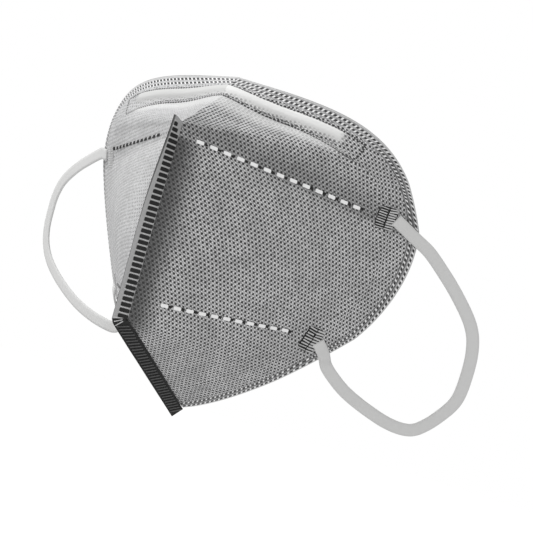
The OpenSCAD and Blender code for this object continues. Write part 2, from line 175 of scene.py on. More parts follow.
def ruled(v, s):
    """The cloth's outer face before its folds are rounded: s is 0 at the seam and 1 at the edge."""
    v, s = np.broadcast_arrays(np.asarray(v, float), np.asarray(s, float))
    a, b = start_at(v), edge_at(v)
    c = strip_foot(v)
    length = np.linalg.norm(b - a, axis=-1)
    inset = (1 - s) * length

    def along(i):
        strip = b + (c - b) * (i / STRIP)[..., None]
        panel = c + (a - c) * ((i - STRIP) / (length - STRIP))[..., None]
        return np.where((i < STRIP)[..., None], strip, panel)
    lo, hi = STRIP - CORNER_STRIP, STRIP + CORNER_PANEL
    u = np.clip((inset - lo) / (hi - lo), 0, 1)[..., None]
    first, last = along(np.full_like(v, lo)), along(np.full_like(v, hi))
    bent = (1 - u) ** 2 * first + 2 * u * (1 - u) * c + u ** 2 * last
    p = np.where(((inset > lo) & (inset < hi))[..., None], bent, along(inset))
    # the swell is at its full height a third of the way out, half way down the cheek
    t = np.clip(v - 1, 0, 1)
    swell = SWELL * 6.75 * s * (1 - s) ** 2 * 16 * (t * (1 - t)) ** 2
    side = FLANGE_HALF * (1 - s) * np.clip(np.minimum(v * 1.5, 1), 0, 1)
    return p + swell[..., None] * SWELL_DIR + side[..., None] * X


# Where the folds are along v, and how far each is rounded before and after it
FOLD_ROUNDS = ((1.0, 0.10, 0.16), (2.0, 0.22, 0.30))


def fold_blend(v, at):
    """Rounds the two folds of anything given along v."""
    p = at(v)
    for fold, before, after in FOLD_ROUNDS:
        u = (v - fold + before) / (before + after)
        near = (u > 0) & (u < 1)
        uu = np.clip(u, 0, 1)[..., None]
        a, b, c = (at(np.full_like(v, x)) for x in (fold - before, fold, fold + after))
        p = np.where(near[..., None], (1 - uu) ** 2 * a + 2 * uu * (1 - uu) * b + uu ** 2 * c, p)
    return p


def face(v, s):
    """The cloth's outer face, with the two folds rounded."""
    v, s = np.broadcast_arrays(np.asarray(v, float), np.asarray(s, float))
    return fold_blend(v, lambda x: ruled(x, s))


# Rows from the seam to the edge: shares of the way to a line inside the edge, then insets
INNER_LINE = 17.0
SHARES = np.concatenate([[0.0], np.linspace(0.02, 1, 42)])
INSETS = np.linspace(INNER_LINE, 0, 41)[1:]
# Columns along the edge, and the one half way down the cheek where the cloth is cut in two pieces
COLUMNS = np.concatenate([np.linspace(0, 1, 73), np.linspace(1, 2, 57)[1:], np.linspace(2, 3, 43)[1:]])
CUT_AT = 1.5
CUT = int(np.argmin(np.abs(COLUMNS - CUT_AT)))


def width_at(v):
    """Width of the cloth from the seam to the edge."""
    return np.linalg.norm(edge_at(v) - start_at(v), axis=-1)


def half_grid():
    """For each vertex of one half: its place along the edge, its share of the way out and its inset."""
    v = COLUMNS
    length = width_at(v)
    inner = SHARES[:, None] * (1 - INNER_LINE / length)[None, :]
    outer = 1 - INSETS[:, None] / length[None, :]
    s = np.vstack([inner, outer]).T
    vv = np.repeat(v[:, None], s.shape[1], axis=1)
    inset = (1 - s) * length[:, None]
    return vv, s, inset


def normals(p):
    """Outward normals of the grid; the first row, where columns meet in a point, copies the next."""
    dv = np.gradient(p, axis=0)
    ds = np.gradient(p, axis=1)
    ds[:, 0] = ds[:, 1]
    dv[:, 0] = dv[:, 1]
    n = np.cross(dv, ds)
    return n / np.maximum(np.linalg.norm(n, axis=-1, keepdims=True), 1e-9)


V, S, INSET = half_grid()
P = face(V, S)
N = normals(P)
N[0, :, 0] = 0.0
N = unit(N)


def flat_pattern():
    """The half laid flat, for the emboss: seam upright at the left, folds running right."""
    per_panel = 200
    v = np.linspace(0, 3, 3 * per_panel + 1)
    foot = np.where((v < 1)[:, None], strip_foot(v), edge_at(v))
    d = unit(foot - start_at(v))
    step = np.arccos(np.clip((d[1:] * d[:-1]).sum(-1), -1, 1))
    # each panel's angle on the flat: the cheek's as it is, the others unrolled from its folds
    turn = np.arcsin(d[:, 2])
    for i in range(per_panel - 1, -1, -1):
        turn[i] = turn[i + 1] + step[i]
    for i in range(2 * per_panel + 1, 3 * per_panel + 1):
        turn[i] = turn[i - 1] - step[i - 1]
    length = width_at(v)
    # the wire's strip keeps its own angle to the line where it meets the panel
    foot3, edge3 = strip_foot(v), edge_at(v)
    panel = np.linalg.norm(foot3 - start_at(v), axis=-1)
    strip = np.linalg.norm(edge3 - foot3, axis=-1)
    lean = (unit(np.gradient(foot3, axis=0)) * unit(edge3 - foot3)).sum(-1)
    foot2 = np.stack([panel * np.cos(turn), start_at(v)[:, 2] + panel * np.sin(turn)], -1)
    run = unit(np.gradient(foot2, axis=0))
    rising = lean[:, None] * run + np.sqrt(1 - lean ** 2)[:, None] * np.stack([-run[:, 1], run[:, 0]], -1)
    radial = np.stack([np.cos(turn), np.sin(turn)], -1)
    w = smooth(v, 0.8, 1.0)[:, None]
    rising = unit(rising * (1 - w) + radial * w)

    def at(x):
        full, part, reach = (np.interp(x, v, y) for y in (length, panel, strip))
        inset = (1 - S) * full
        r = np.where(inset < STRIP, part, part * (full - inset) / (full - STRIP))
        angle = np.interp(x, v, turn)
        up = np.stack([np.interp(x, v, rising[:, k]) for k in (0, 1)], -1)
        beyond = np.maximum(reach * (1 - inset / STRIP), 0)[..., None] * up
        return np.stack([r * np.cos(angle), start_at(x)[..., 2] + r * np.sin(angle)], -1) + beyond
    return fold_blend(V, at)


def length_along(path):
    """Distance travelled at each point of a path."""
    return np.concatenate([[0], np.cumsum(np.linalg.norm(np.diff(path, axis=0), axis=-1))])


CLOTH_UV = flat_pattern()
ALONG = length_along(edge_at(COLUMNS))
EDGE_UV = np.stack([np.repeat(ALONG[:, None], S.shape[1], 1), INSET], -1)
# How far along the edge the wire's channel runs, and its dotted outline
CHANNEL_END, OUTLINE_END = (float(np.interp(x, COLUMNS, ALONG)) for x in (0.505, 0.615))

# Rows of weld dashes: distance from the seam in mm, and how far down the cheek, from 0 to 1
UPPER_DASHES = [(8.3, 0.0686), (24.8, 0.0872), (41.4, 0.1039), (57.5, 0.121), (73.6, 0.1397)]
RIGHT_UPPER_DASHES = [(19.0, 0.040), (36.5, 0.058), (53.6, 0.071), (72.8, 0.084), (79.4, 0.088)]
LOWER_DASHES = [(11.8, 0.9331), (22.1, 0.9184), (63.1, 0.8553)]


def groove_line(points, length):
    """How far down the cheek the dash line runs, at a distance from the seam."""
    along, down = zip(*points)
    return np.interp(length, along, down)


# The wire's channel: its height, where it rises and falls in mm from the edge, and where along
# the nose it ends
CHANNEL_H, CHANNEL_RISE, CHANNEL_FALL, CHANNEL_STOP = 1.1, (6.0, 7.2), (8.6, 11.2), (0.47, 0.53)
# How deep the edge weld is pressed, and where its step is
PRESS, PRESS_STEP = 0.3, (3.9, 4.6)
# Each groove of weld dashes: its depth, and where it starts and ends, in mm from the seam
GROOVES = ((UPPER_DASHES, 0.9, 5, 79), (LOWER_DASHES, 0.5, 8, 69))
# Half of a groove's width, and over how many mm it fades in and out at its ends
GROOVE_HALF, FADE_IN, FADE_OUT = 2.6, 6, 5


def rise(v, s):
    """Height of the outer face over the plain panels: the wire's channel, the edge weld, the grooves."""
    length = width_at(v)
    inset = (1 - s) * length
    bump = smooth(inset, *CHANNEL_RISE) * (1 - smooth(inset, *CHANNEL_FALL)) * (1 - smooth(v, *CHANNEL_STOP))
    total = CHANNEL_H * bump - PRESS * (1 - smooth(inset, *PRESS_STEP))
    for line, depth, first, last in GROOVES:
        at = groove_line(line, s * length)
        # mm down the cheek, whose height grows less toward the edge
        away = (v - 1 - at) * SEAM_H * (1 - 0.35 * s)
        held = smooth(s * length, first - FADE_IN, first) * (1 - smooth(s * length, last, last + FADE_OUT))
        total = total - depth * held * np.exp(-(away / GROOVE_HALF) ** 2)
    return total


# The folds between the cheek and the other panels: their two ends, and which way is off the cheek
FOLDS = {"nose": (SEAM_HEAD, TEMPLE, 1), "chin": (SEAM_FOOT, JAW, -1)}
# Half of the width over which the cloth bends at a fold
BEND = 4
# How far each body turns when the mask is folded flat, in degrees
FLAT_CHEEK, FLAT_NOSE, FLAT_CHIN = 32, 33.6, -51.2


def fold_frame(panel):
    """A fold's middle, its direction, and the direction that leads off the cheek."""
    a, b, away = FOLDS[panel]
    c = unit(b - a)
    return (a + b) / 2, c, unit(np.array([0, 0, away]) - c * (c[2] * away))


def turned(p, origin, axis, degrees):
    """Points turned about a line."""
    d, t = p - origin, math.radians(degrees)
    along = (d @ axis)[..., None] * axis
    return origin + along + (d - along) * math.cos(t) + np.cross(axis, d) * math.sin(t)


def folded(p, v):
    """Where the cloth lies when the mask is folded flat."""
    cheek = lambda q: turned(q, SEAM_HEAD, Z, FLAT_CHEEK)
    out = cheek(p)
    for near, panel, degrees in ((v <= CUT_AT, "nose", FLAT_NOSE), (v > CUT_AT, "chin", FLAT_CHIN)):
        mid, c, d = fold_frame(panel)
        t = np.clip(((p - mid) @ d + BEND) / (2 * BEND), 0, 1)[..., None]
        bent = cheek(turned(p, FOLDS[panel][0], c, degrees))
        out = np.where(near[..., None], out * (1 - t) + bent * t, out)
    return out


RISE = rise(V, S)
# Pressed thin along the edge weld; and folded flat, neither half may reach past the middle, so
# the cloth also thins where it would
CLOTH_T, EDGE_T, LEAST_T, SPACE = 1.5, 0.6, 0.05, 0.03
THICK = CLOTH_T - (CLOTH_T - EDGE_T) * (1 - smooth(INSET, 3.6, 4.6))
THICK = np.clip(folded(P + N * RISE[..., None], V)[..., 0] - SPACE, LEAST_T, THICK)
# The cloth tucks in under both flanges
TUCK = 0.05
P[:, 0, 0] = np.minimum(P[:, 0, 0], TUCK)
P[-1, :, 0] = np.minimum(P[-1, :, 0], TUCK)


def new_mesh(name, verts, faces, uvs=None, smooth_shade=True):
    """A mesh object from millimetres; each UV layer has one row for each vertex."""
    me = bpy.data.meshes.new(name)
    me.from_pydata([tuple(p) for p in np.asarray(verts) * MM], [], [tuple(f) for f in faces])
    if uvs:
        loops = np.zeros(len(me.loops), np.int32)
        me.loops.foreach_get("vertex_index", loops)
        for key, uv in uvs.items():
            layer = me.uv_layers.new(name=key)
            layer.data.foreach_set("uv", (np.asarray(uv)[loops] * MM).astype(np.float32).ravel())
    if smooth_shade:
        me.polygons.foreach_set("use_smooth", [True] * len(me.polygons))
    me.update()
    ob = bpy.data.objects.new(name, me)
    bpy.context.collection.objects.link(ob)
    return ob


def grid_faces(nc, nr, base=0, flip=False):
    """Faces of a grid of columns and rows of vertices that start at base."""
    c, r = np.meshgrid(np.arange(nc - 1), np.arange(nr - 1), indexing="ij")
    a = (base + c * nr + r).ravel()
    q = np.stack([a, a + nr, a + nr + 1, a + 1], -1)
    return (q[:, ::-1] if flip else q).tolist()


def dress(ob, mats, numbers):
    """Gives a mesh its materials, with the number of one for each face."""
    for m in mats:
        ob.data.materials.append(m)
    ob.data.polygons.foreach_set("material_index", numbers)


def shell_piece(name, c0, c1, side, mats):
    """Part of one half's cloth between two columns: outer face, lining and the edge between."""
    part = slice(c0, c1 + 1)
    outer = P[part] + N[part] * RISE[part][..., None]
    inner = outer - N[part] * THICK[part][..., None]
    inner[..., 0] = np.maximum(inner[..., 0], 0)
    nc, nr = outer.shape[:2]
    flat = lambda a: a.reshape(-1, a.shape[-1])
    verts = np.vstack([flat(outer), flat(inner)]) * np.array([side, 1, 1])
    n = nc * nr
    mirror = side < 0
    out_faces = grid_faces(nc, nr, 0, mirror)
    in_faces = grid_faces(nc, nr, n, not mirror)
    edge = [(c * nr + nr - 1, (c + 1) * nr + nr - 1) for c in range(nc - 1)]
    rim = [(a, b, b + n, a + n) for a, b in edge]
    if not mirror:
        rim = [f[::-1] for f in rim]
    uvs = {key: np.vstack([flat(uv[part])] * 2) for key, uv in (("cloth", CLOTH_UV), ("edge", EDGE_UV))}
    ob = new_mesh(name, verts, out_faces + in_faces + rim, uvs)
    dress(ob, mats, [0] * len(out_faces) + [1] * len(in_faces) + [0] * len(rim))
    return ob


# ---------------------------------------------------------------- materials
class Nodes:
    """Short calls that add shader nodes; inputs are numbers, colours or the outputs of other nodes."""

    def __init__(self, tree):
        self.t = tree

    def new(self, kind, **values):
        n = self.t.nodes.new(kind)
        for k, v in values.items():
            setattr(n, k, v)
        return n

    def link(self, a, b):
        self.t.links.new(a, b)

    def math(self, op, a, b=None, c=None):
        n = self.new("ShaderNodeMath", operation=op)
        for i, x in enumerate((a, b, c)):
            if x is None:
                continue
            if isinstance(x, (int, float)):
                n.inputs[i].default_value = x
            else:
                self.link(x, n.inputs[i])
        return n.outputs[0]

    def mul(self, a, b):
        return self.math("MULTIPLY", a, b)

    def sub(self, a, b):
        return self.math("SUBTRACT", a, b)

    def most(self, a, b):
        return self.math("MAXIMUM", a, b)

    def inv(self, x):
        return self.sub(1, x)

    def off(self, x, centre):
        """Distance from a centre, to either side."""
        return self.math("ABSOLUTE", self.sub(x, centre))

    def step(self, x, lo, hi):
        """0 below lo, 1 above hi, and an even bend between."""
        n = self.new("ShaderNodeMapRange", interpolation_type="SMOOTHSTEP")
        self.link(x, n.inputs["Value"])
        n.inputs["From Min"].default_value = lo
        n.inputs["From Max"].default_value = hi
        return n.outputs["Result"]

    def between(self, x, lo, lo_end, hi, hi_end):
        """1 between two bends and 0 outside them."""
        return self.mul(self.step(x, lo, lo_end), self.inv(self.step(x, hi, hi_end)))

    def noise(self, scale, detail=None):
        n = self.new("ShaderNodeTexNoise")
        n.inputs["Scale"].default_value = scale
        if detail is not None:
            n.inputs["Detail"].default_value = detail
        self.link(self.new("ShaderNodeTexCoord").outputs["Object"], n.inputs["Vector"])
        return n.outputs["Fac"]

    def bump(self, height, distance, strength, bsdf):
        n = self.new("ShaderNodeBump")
        n.inputs["Distance"].default_value = distance
        n.inputs["Strength"].default_value = strength
        self.link(height, n.inputs["Height"])
        self.link(n.outputs[0], bsdf.inputs["Normal"])

    def mix(self, f, a, b):
        n = self.new("ShaderNodeMix", data_type="RGBA")
        for sock, x in ((n.inputs["Factor"], f), (n.inputs[6], a), (n.inputs[7], b)):
            if isinstance(x, (int, float)):
                sock.default_value = x if sock.type == "VALUE" else (x, x, x, 1)
            elif isinstance(x, tuple):
                sock.default_value = x
            else:
                self.link(x, sock)
        return n.outputs[2]


def material(name, color, rough, sheen=0.0, spec=0.3):
    """A new material, its nodes and its surface shader."""
    m = bpy.data.materials.new(name)
    m.use_nodes = True
    b = m.node_tree.nodes["Principled BSDF"]
    b.inputs["Base Color"].default_value = (*color, 1)
    b.inputs["Roughness"].default_value = rough
    b.inputs["Specular IOR Level"].default_value = spec
    b.inputs["Sheen Weight"].default_value = sheen
    return m, Nodes(m.node_tree), b


# Spacing of the emboss points along a row and from row to row, and how far the rows are turned
DOT_ACROSS, DOT_ROWS = 1.64 * MM, 2.84 * MM
DOT_TURN = math.radians(6.6)
# Edge weld's dashes and the pocket's dotted outline: spacing
DASH_PITCH, OUTLINE_PITCH = 2.0 * MM, 1.3 * MM


def cloth_material(name, dot, dark, ground, weave_tone, soft, bare):
    """Embossed cloth: staggered pressed points, raised threads between, dotted welds at the edge.

    dot is a point's radius in mm and dark its strength, ground the two greys of the grain,
    weave_tone the strength of the threads, soft that of the painted shade beside the folds and the seam,
    and bare the grey of the plain channel.
    """
    m, n, bsdf = material(name, (0.5, 0.5, 0.5), 0.85, 0.1, 0.2)
    cloth, edge = (n.new("ShaderNodeSeparateXYZ") for _ in range(2))
    n.link(n.new("ShaderNodeUVMap", uv_map="cloth").outputs[0], cloth.inputs[0])
    n.link(n.new("ShaderNodeUVMap", uv_map="edge").outputs[0], edge.inputs[0])
    along, inset = edge.outputs[0], edge.outputs[1]
    seam, height = cloth.outputs[0], cloth.outputs[1]
    # height over the line of upper dashes
    crease = n.math("ADD", height, n.math("MULTIPLY_ADD", seam, 0.127, -0.0336))
    noise, patchy = n.noise(900, 3), n.noise(85)
    grain = n.step(noise, 0.35, 0.68)
    channel_end, outline_end = CHANNEL_END * MM, OUTLINE_END * MM
    # the emboss runs a little askew of the seam
    askew = ((math.cos(DOT_TURN), -math.sin(DOT_TURN)), (math.sin(DOT_TURN), math.cos(DOT_TURN)))
    across, up = (n.math("MULTIPLY_ADD", seam, a, n.mul(height, b)) for a, b in askew)
    # staggered emboss points, each a little different
    near = None
    for shift in (0.0, 0.5):
        parts = []
        for o, size in ((across, DOT_ACROSS), (up, DOT_ROWS)):
            x = n.math("MULTIPLY_ADD", o, 1 / size, shift + 500)
            x = n.mul(n.sub(n.math("FRACT", x), 0.5), size / MM)
            parts.append(n.mul(x, x))
        d = n.math("SQRT", n.math("ADD", *parts))
        near = d if near is None else n.math("MINIMUM", near, d)
    near = n.math("MULTIPLY_ADD", n.sub(noise, 0.5), 0.25, near)
    dots = n.inv(n.step(near, dot - 0.06, dot + 0.07))
    # fine threads that run between the points at a slant of 60 degrees
    x = n.math("MULTIPLY_ADD", up, 1.7321, across)
    x = n.math("FRACT", n.math("MULTIPLY_ADD", x, 1 / DOT_ACROSS, 500))
    threads = n.inv(n.step(n.off(x, 0.5), 0.10, 0.26))
    threads = n.mul(threads, n.step(near, dot + 0.05, dot + 0.2))

    # the plain channel over the wire, and the outermost trim
    channel = n.between(inset, 0.0060, 0.0068, 0.0094, 0.0122)
    channel = n.mul(channel, n.inv(n.step(along, channel_end - 0.004, channel_end + 0.001)))
    trim = n.inv(n.step(inset, 0.0005, 0.0009))
    plain = n.most(channel, trim)
    # below the channel the emboss points are drawn faint, and the band also holds painted light
    below_channel = n.between(inset, 0.0122, 0.0130, 0.0150, 0.0250)
    below_channel = n.mul(below_channel, n.inv(n.step(along, outline_end - 0.016, outline_end)))
    # and the edge weld leaves hardly any of it
    clear = n.step(inset, 0.0044, 0.0050)
    shown = n.mul(n.mul(dots, n.inv(plain)), n.inv(n.mul(below_channel, 0.85)))
    shown = n.mul(shown, n.math("MULTIPLY_ADD", clear, 0.95, 0.05))

    def row(at, pitch, length, width, skew, shift=0.0):
        """Dashes in a row along the edge, at an inset."""
        x = n.math("MULTIPLY_ADD", inset, skew, along)
        x = n.math("FRACT", n.math("MULTIPLY_ADD", x, 1 / pitch, 300.0 + shift))
        x = n.mul(n.off(x, 0.5), 2 * pitch)
        a = n.inv(n.step(x, length - 0.0002, length + 0.0002))
        b = n.inv(n.step(n.off(inset, at), width - 0.00012, width + 0.00012))
        return n.mul(a, b)
    # edge weld: two rows of slanted dashes with painted highlights between, further out past the pocket
    beyond = n.step(along, outline_end, outline_end + 0.015)
    lines = [n.math("MULTIPLY_ADD", beyond, -out, at) for at, out in ((0.0017, 0.0006), (0.0035, 0.0002))]
    rows = n.most(*(row(at, DASH_PITCH, 0.0012, 0.00042, 0.7) for at in lines))
    # painted highlights: bright points between the dashes of the edge weld
    painted_glints = n.most(*(row(at, DASH_PITCH, 0.0008, 0.0005, 0.7, 0.5) for at in lines))
    # away from the pocket a thin dark line runs beside each row
    for at in (0.0025, 0.0044):
        line = n.inv(n.step(n.off(inset, at), 0.00008, 0.00034))
        rows = n.most(rows, n.mul(line, n.mul(beyond, 0.8)))
    # dotted outline of the wire's pocket: a row over it, two rows under it and bars across its end
    outlined = n.inv(n.step(along, outline_end - 0.0002, outline_end + 0.0002))
    under = n.math("ADD", 0.0124, n.mul(n.step(along, outline_end - 0.034, outline_end), 0.0030))
    dark_rows = rows
    for at, length, width, shift, strength in ((0.0060, 0.0008, 0.00034, 0.0, 1.0),
                                               (under, 0.0009, 0.00040, 0.0, 1.0),
                                               (n.sub(under, 0.0010), 0.0007, 0.00026, 0.5, 0.8)):
        dots_here = n.mul(row(at, OUTLINE_PITCH, length, width, 0.0, shift), outlined)
        dark_rows = n.most(dark_rows, n.mul(dots_here, strength))
    end = n.inv(n.step(n.off(along, outline_end), 0.0005, 0.0008))
    end = n.mul(end, n.between(inset, 0.0058, 0.0062, 0.0150, 0.0156))
    bars = n.off(n.math("FRACT", n.mul(inset, 1 / 0.0012)), 0.5)
    dark_rows = n.most(dark_rows, n.mul(end, n.inv(n.step(bars, 0.22, 0.34))))

    # tone, from the ground up: grain, threads, patches, painted light up by the wire, painted shade over the
    # dashes and beside the front seam, then the trim, the channel, the points, painted highlights and the
    # welds
    threads = n.mul(threads, n.math("MULTIPLY_ADD", clear, 0.8, 0.2))
    # painted light: the cloth drawn paler high over the dashes, in the band below the channel
    pale = n.mul(n.step(crease, 0.008, 0.022), n.mul(below_channel, 0.55))
    # painted shade: a dark band over the upper dashes, and another beside the front seam below them
    above = n.between(crease, -0.0015, 0.0015, 0.003, 0.016)
    beside = n.mul(n.inv(n.step(seam, 0.001, 0.013)), n.inv(n.step(crease, -0.002, 0.002)))
    base = n.mix(grain, *ground)
    for share, tone in ((n.mul(threads, weave_tone), (0.92, 0.92, 0.92, 1)),
                        (n.mul(n.step(patchy, 0.35, 0.65), 0.24 * weave_tone), (0.22, 0.22, 0.22, 1)),
                        (pale, (0.74, 0.74, 0.735, 1)),
                        (n.mul(n.most(n.mul(above, 0.5), beside), soft), (0.07, 0.07, 0.07, 1)),
                        (trim, (0.56, 0.56, 0.56, 1)),
                        (channel, (bare, bare, bare * 0.99, 1)),
                        (n.mul(shown, dark), (0.05, 0.05, 0.05, 1)),
                        (n.mul(painted_glints, 0.95), (0.9, 0.9, 0.9, 1)),
                        (n.mul(dark_rows, 0.95), (0.03, 0.03, 0.03, 1))):
        base = n.mix(share, base, tone)
    n.link(base, bsdf.inputs["Base Color"])
    raised = n.mul(n.most(n.mul(threads, n.inv(plain)), painted_glints), 0.4)
    pressed = n.sub(n.mul(grain, 0.2), n.most(shown, dark_rows))
    n.bump(n.math("ADD", pressed, raised), 0.0003, 0.6, bsdf)
    return m


def plain_material(name, color, rough, spec, grain_scale, grain):
    """A material of one colour with a fine grain."""
    m, n, bsdf = material(name, color, rough, 0.0, spec)
    noise = n.noise(grain_scale, 3)
    lo = tuple(c * (1 - grain) for c in color) + (1,)
    hi = tuple(min(1, c * (1 + grain)) for c in color) + (1,)
    n.link(n.mix(noise, lo, hi), bsdf.inputs["Base Color"])
    n.bump(noise, 0.0002, 0.15, bsdf)
    return m


# The same cloth twice: its greys and the strength of its points, threads and shade differ between the halves
# as painted light and shade, the left copy darker and the right paler
CLOTH = {
    1: cloth_material("embossed_nonwoven", 0.43, 1.0,
                      ((0.27, 0.27, 0.275, 1), (0.50, 0.50, 0.505, 1)), 1.0, 0.85, 0.80),
    -1: cloth_material("embossed_nonwoven_painted_light", 0.30, 0.62,
                       ((0.44, 0.44, 0.445, 1), (0.58, 0.58, 0.585, 1)), 0.5, 0.2, 0.62)}
LINING = cloth_material("lining_nonwoven", 0.20, 0.35,
                        ((0.70, 0.70, 0.70, 1), (0.84, 0.84, 0.835, 1)), 0.3, 0.0, 0.80)
WELD_WHITE = plain_material("melted_weld", (0.94, 0.94, 0.94), 0.45, 0.5, 900, 0.05)
WELD_DARK = plain_material("melted_weld_shaded", (0.02, 0.02, 0.02), 0.6, 0.2, 900, 0.3)
WELD_GREY = plain_material("melted_weld_ridge", (0.10, 0.10, 0.10), 0.5, 0.4, 900, 0.2)
WELD_FAINT = plain_material("melted_weld_turned", (0.40, 0.40, 0.40), 0.5, 0.4, 900, 0.15)
WELD_RIB = plain_material("melted_weld_rib", (0.55, 0.55, 0.55), 0.5, 0.4, 900, 0.15)
ELASTIC = plain_material("flat_elastic", (0.65, 0.65, 0.645), 0.7, 0.3, 500, 0.03)

# ---------------------------------------------------------------- cloth of both halves
SIDES = (("left", 1), ("right", -1))
LAYERS = ("lining", "support", "filter", "cover")
for side_name, sign in SIDES:
    mats = [CLOTH[sign], LINING]
    nodes = lambda panel: [f"{side_name}_{panel}_{layer}" for layer in LAYERS]
    top = shell_piece(f"{side_name}_upper_cloth", 0, CUT, sign, mats)
    low = shell_piece(f"{side_name}_lower_cloth", CUT, len(COLUMNS) - 1, sign, mats)
    for piece, panel in ((top, "nose"), (low, "chin")):
        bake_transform(piece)
    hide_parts(*nodes("nose"), *nodes("cheek"), f"{side_name}_nose_wire")
    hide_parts(*nodes("chin"))


# ---------------------------------------------------------------- small solids
class Solid:
    """Collects the faces of one piece, with a material number for each."""

    def __init__(self):
        self.verts, self.faces, self.mats = [], [], []

    def add(self, verts, faces, mat):
        base = len(self.verts)
        self.verts += [np.asarray(p, float) for p in verts]
        self.faces += [tuple(base + i for i in f) for f in faces]
        self.mats += [mat] * len(faces)

    def slab(self, centre, x, y, z, size, mat, bevel, skew=0.0):
        """A bar with a bevelled top: its size is along x, along y and along z from its base."""
        x, y, z = (np.asarray(a, float) for a in (x, y, z))
        lx, ly, lz = size
        rings = []
        for inset, h in ((0, 0), (0, lz - bevel), (bevel, lz)):
            a, b = lx / 2 - inset, ly / 2 - inset
            c = min(a, b) * 0.35
            ring = [(a, -b + c), (a, b - c), (a - c, b), (-a + c, b), (-a, b - c), (-a, -b + c),
                    (-a + c, -b), (a - c, -b)]
            rings.append([centre + (u + skew * w) * x + w * y + h * z for u, w in ring])
        n = 8
        faces = [(r * n + i, r * n + (i + 1) % n, (r + 1) * n + (i + 1) % n, (r + 1) * n + i)
                 for r in (0, 1) for i in range(n)]
        faces += [tuple(range(2 * n, 3 * n)), tuple(reversed(range(n)))]
        if np.dot(np.cross(x, y), z) < 0:
            faces = [f[::-1] for f in faces]
        self.add([p for ring in rings for p in ring], faces, mat)

    def piece(self, name, side, mats):
        """The mesh object, mirrored for the right half."""
        verts = np.array(self.verts) * np.array([side, 1, 1])
        faces = self.faces if side > 0 else [f[::-1] for f in self.faces]
        ob = new_mesh(name, verts, faces, None, smooth_shade=False)
        dress(ob, mats, self.mats)
        return ob


def skin(v, s):
    """Point of the cloth's outer face, its outward normal, and the direction down the face."""
    number = lambda x: np.asarray(float(x))
    at = lambda v, s: face(number(v), number(s))
    back = unit(at(v, s + 0.01) - at(v, s - 0.01))
    down = unit(at(v + 0.01, s) - at(v - 0.01, s))
    normal = unit(np.cross(down, back))
    return at(v, s) + normal * float(rise(number(v), number(s))), normal, down


# Numbers of the dashes' materials, the dark one for painted shadow, and how deep a bar's foot is sunk in the
# cloth
WHITE, DARK, PALE = 0, 1, 2
SUNK = 0.3


def dash_line(line, count, near_side):
    """Raised weld bars along a line of the cheek, each with a dark plate of painted shadow in the gap after
    it.
    """
    solid = Solid()
    first, last = line[0][0], line[-1][0]
    pitch = (last - first) / (count - 1)

    def at(length):
        v = 1 + groove_line(line, length)
        return skin(v, length / float(width_at(np.asarray(float(v)))))
    for k in range(count):
        place = first + k * pitch
        p, n = at(place)[:2]
        x = unit(at(place + 1)[0] - at(place - 1)[0])
        y = np.cross(n, x)
        q, m = at(place + (2.3 if near_side else 2.5))[:2]
        z = np.cross(m, x)
        if near_side:
            # a white bar, a dark plate of painted shadow in the gap after it, and another of painted shadow
            # along its side
            solid.slab(p - SUNK * n, x, y, n, (3.0, 1.35, 0.78), WHITE, 0.1, -0.12)
            solid.slab(q - SUNK * m, x, z, m, (1.5, 1.2, 0.36), DARK, 0.03, -0.15)
            solid.slab(p - SUNK * n + 0.35 * y, x, y, n, (3.3, 1.1, 0.36), DARK, 0.03)
        else:
            # a small grey bar, painted as the white bar in shade, and a long slanted dark plate of painted
            # shade after it
            solid.slab(p - SUNK * n, x, y, n, (1.6, 0.9, 0.40), PALE, 0.1, -0.2)
            solid.slab(q - SUNK * m, x, z, m, (3.1, 1.4, 0.40), DARK, 0.03, -0.6)
    return solid


# ---------------------------------------------------------------- loops and their welds
SWING = {j["name"]: j for j in frame["joints"]}["left_loop_swing"]
# Both loops are drawn on the left half: the line between a loop's ends, which it swings about
UPPER_END = np.array(SWING["pos_m"]) / MM
LOOP_DOWN = unit(SWING["axis"])
CHORD = 61.5
LOWER_END = UPPER_END + CHORD * LOOP_DOWN
LOOP_BACK = np.array([-0.42, 0.89, 0.17])
LOOP_BACK = unit(LOOP_BACK - LOOP_BACK @ LOOP_DOWN * LOOP_DOWN)
LOOP_OUT = np.cross(LOOP_DOWN, LOOP_BACK)
LOOP_W, LOOP_T = 5.0, 0.8
LOOP_REACH, LOOP_BOW = 49, 2
# Welds: place on the cheek, turn, size across and down, where the band starts and crosses the edge
WELDS = {"upper": ((1.146, 0.852), 26, (7.8, 8.8), (1.14, 0.904), (1.216, 0.997)),
         "lower": ((1.865, 0.842), -29, (7.6, 10.4), (1.873, 0.891), (1.955, 0.997))}
# The far loop starts elsewhere at its upper weld, and crosses the edge elsewhere
FAR_START, FAR_UPPER, FAR_LOWER = (1.125, 0.93), (1.11, 0.998), (1.985, 0.998)
# Between these distances from its ends the band turns from lying on the cheek to facing the front
TURN_FROM, TURN_TO = 6, 34
# Stations of each loop: shares of the chord down, of the reach outward and of the bow back
LEFT_ROUTE = [(0.03, 0.07, 0.8), (0.06, 0.2, 0.9), (0.135, 0.455, 1), (0.24, 0.71, 1), (0.365, 0.85, 1),
              (0.545, 0.955, 1), (0.68, 1, 1), (0.81, 0.975, 1), (0.92, 0.93, 1), (1.005, 0.86, 1),
              (1.055, 0.7, 1), (1.07, 0.48, 1), (1.065, 0.27, 1), (1.04, 0.13, 0.8)]
RIGHT_ROUTE = [(-0.085, 0.11, 0.2), (-0.077, 0.313, 0), (-0.046, 0.546, 0), (0.022, 0.705, 0),
               (0.115, 0.816, 0), (0.223, 0.913, 0), (0.343, 0.957, 0), (0.47, 0.93, 0), (0.599, 0.84, 0),
               (0.731, 0.71, 0), (0.878, 0.53, 0), (1.0, 0.34, 0.2), (1.095, 0.16, 0.6), (1.15, 0.03, 1.2),
               (1.14, -0.07, 1.6), (1.09, -0.1, 1.2)]


